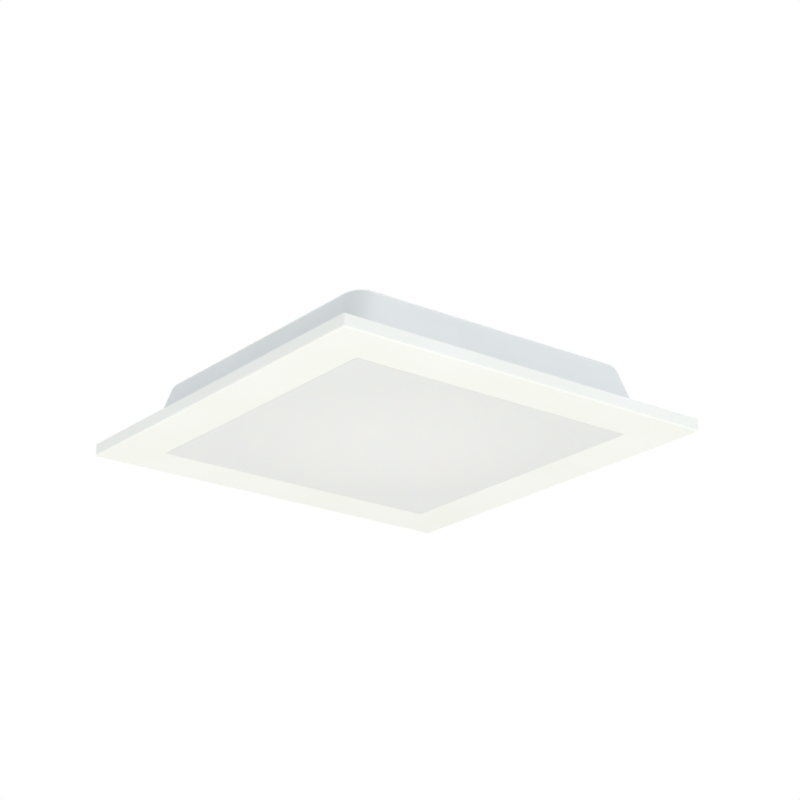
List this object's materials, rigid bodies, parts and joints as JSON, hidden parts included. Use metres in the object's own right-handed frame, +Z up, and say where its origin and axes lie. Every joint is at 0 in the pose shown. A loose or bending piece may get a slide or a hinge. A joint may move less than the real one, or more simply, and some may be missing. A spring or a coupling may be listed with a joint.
{
  "type": "recessed led panel light",
  "caption": "Square opal panel light in a wide flat rim with a tapered tray behind, held from above by two sliding sprung clips.",
  "frame": {"origin": "middle of the ceiling contact face, on top of the ceiling gasket", "axes": "+Z up into the ceiling, +X and +Y along the sides of the square plate, the clips on the X axis, the mains cable entry towards +Y"},
  "size_m": [0.2, 0.2, 0.0517],
  "materials": {
    "rim_white": "fine satin moulded",
    "opal_diffuser": "opal, soft satin",
    "white_silicone": "soft matte",
    "grey_foam": "closed cell foam",
    "reflector_white": "diffuse white film",
    "board_white": "white solder mask",
    "led_phosphor": "phosphor in clear resin",
    "clear_lens": "clear moulded lens",
    "nylon_white": "moulded nylon",
    "zinc_steel": "bright zinc plate",
    "aluminium_sheet": "mill finish",
    "housing_white": "smooth satin moulded",
    "black_foam": "closed cell foam",
    "box_white": "fine textured moulded",
    "circuit_board": "green solder mask",
    "ferrite": "ground ferrite",
    "winding_tape": "polyester tape",
    "dark_sleeve": "shrink sleeve",
    "blue_sleeve": "shrink sleeve",
    "film_case": "moulded case",
    "choke_copper": "enamelled winding",
    "black_epoxy": "moulded epoxy",
    "fuse_sleeve": "shrink sleeve",
    "red_lead": "smooth insulation",
    "black_lead": "smooth insulation",
    "black_rubber": "matte moulded",
    "bright_steel": "bright drawn",
    "carriage_grey": "glass filled nylon",
    "spring_steel": "drawn spring wire",
    "arm_steel": "zinc plated pressing"
  },
  "bodies": {
    "root": {"front_frame": "rim_white", "diffuser": "opal_diffuser", "diffuser_seal": "white_silicone", "frame_seal": "grey_foam", "reflector": "reflector_white", "led_board": "board_white", "led_chips": "led_phosphor", "led_lenses": "clear_lens", "led_connector": "nylon_white", "board_screws": "zinc_steel", "heat_spreader": "aluminium_sheet", "rear_housing": "housing_white", "frame_screws": "zinc_steel", "ceiling_gasket": "black_foam", "driver_box": "box_white", "box_screws": "zinc_steel", "driver_board": "circuit_board", "transformer_core": "ferrite", "transformer_winding": "winding_tape", "bulk_capacitor": "dark_sleeve", "output_capacitor": "blue_sleeve", "film_capacitor": "film_case", "input_choke": "choke_copper", "bridge_rectifier": "black_epoxy", "fuse": "fuse_sleeve", "heat_sink": "aluminium_sheet", "switching_transistor": "black_epoxy", "lead_positive": "red_lead", "lead_negative": "black_lead", "driver_lid": "box_white", "lid_screws": "zinc_steel", "terminal_block": "nylon_white", "terminal_screws": "zinc_steel", "cable_clamp": "nylon_white", "clamp_screws": "zinc_steel", "cable_grommet": "black_rubber", "cover_hinge_pin": "bright_steel", "guide_rails_left": "box_white", "guide_rails_right": "box_white"},
    "terminal_cover": {"terminal_cover": "box_white"},
    "carriage_left": {"carriage_left": "carriage_grey", "pivot_pin_left": "bright_steel", "torsion_spring_left": "spring_steel"},
    "carriage_right": {"carriage_right": "carriage_grey", "pivot_pin_right": "bright_steel", "torsion_spring_right": "spring_steel"},
    "clip_arm_left": {"clip_arm_left": "arm_steel", "arm_pad_left": "black_rubber"},
    "clip_arm_right": {"clip_arm_right": "arm_steel", "arm_pad_right": "black_rubber"}
  },
  "joints": [
    {"name": "carriage_left_slide", "type": "slide", "parent": "root", "child": "carriage_left", "axis": [-1, 0, 0], "range_m": [0, 0.02]},
    {"name": "carriage_right_slide", "type": "slide", "parent": "root", "child": "carriage_right", "axis": [1, 0, 0], "range_m": [0, 0.02]},
    {"name": "arm_left_swing", "type": "hinge", "parent": "carriage_left", "child": "clip_arm_left", "pos_m": [-0.032, 0, 0.0055], "axis": [0, 1, 0], "range_deg": [0, 95], "stiffness_Nm_per_rad": 0.12, "springref_deg": -34.38, "deforming": ["torsion_spring_left"]},
    {"name": "arm_right_swing", "type": "hinge", "parent": "carriage_right", "child": "clip_arm_right", "pos_m": [0.032, 0, 0.0055], "axis": [0, -1, 0], "range_deg": [0, 95], "stiffness_Nm_per_rad": 0.12, "springref_deg": -34.38, "deforming": ["torsion_spring_right"]},
    {"name": "terminal_cover_swing", "type": "hinge", "parent": "root", "child": "terminal_cover", "pos_m": [0, 0.008, 0.0154], "axis": [1, 0, 0], "range_deg": [0, 110]}
  ]
}
